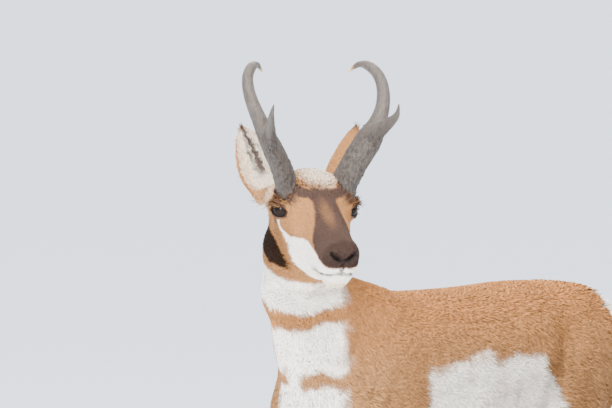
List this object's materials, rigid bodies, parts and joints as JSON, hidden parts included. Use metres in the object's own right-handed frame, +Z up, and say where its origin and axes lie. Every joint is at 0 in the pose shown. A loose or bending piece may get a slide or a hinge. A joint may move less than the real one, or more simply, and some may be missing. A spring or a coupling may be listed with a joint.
{
  "type": "pronghorn",
  "caption": "Life-size still model of a pronghorn buck, standing with its head turned to its left and its horns raised.",
  "frame": {"origin": "Centre of the outline's footprint on the floor; z = 0 is the level that the soles of the hooves rest on.", "axes": "+X is the way the body faces, +Y is the animal's left, +Z is up."},
  "size_m": [1.1791, 0.4048, 1.2555],
  "materials": {
    "coat": "short dense hair, matte",
    "horn": "horn sheath, rough below and smooth above",
    "hoof": "dark hoof horn, satin",
    "eye": "glossy dark brown glass eye"
  },
  "bodies": {
    "root": {"torso": "coat", "neck": "coat", "head": "coat", "horn_left": "horn", "ear_left": "coat", "eye_left": "eye", "horn_right": "horn", "ear_right": "coat", "eye_right": "eye", "tail": "coat", "fore_left_upper_leg": "coat", "fore_left_lower_leg": "coat", "fore_left_hoof_inner": "hoof", "fore_left_hoof_outer": "hoof", "fore_right_upper_leg": "coat", "fore_right_lower_leg": "coat", "fore_right_hoof_inner": "hoof", "fore_right_hoof_outer": "hoof", "hind_left_upper_leg": "coat", "hind_left_lower_leg": "coat", "hind_left_hoof_inner": "hoof", "hind_left_hoof_outer": "hoof", "hind_right_upper_leg": "coat", "hind_right_lower_leg": "coat", "hind_right_hoof_inner": "hoof", "hind_right_hoof_outer": "hoof"}
  },
  "joints": []
}
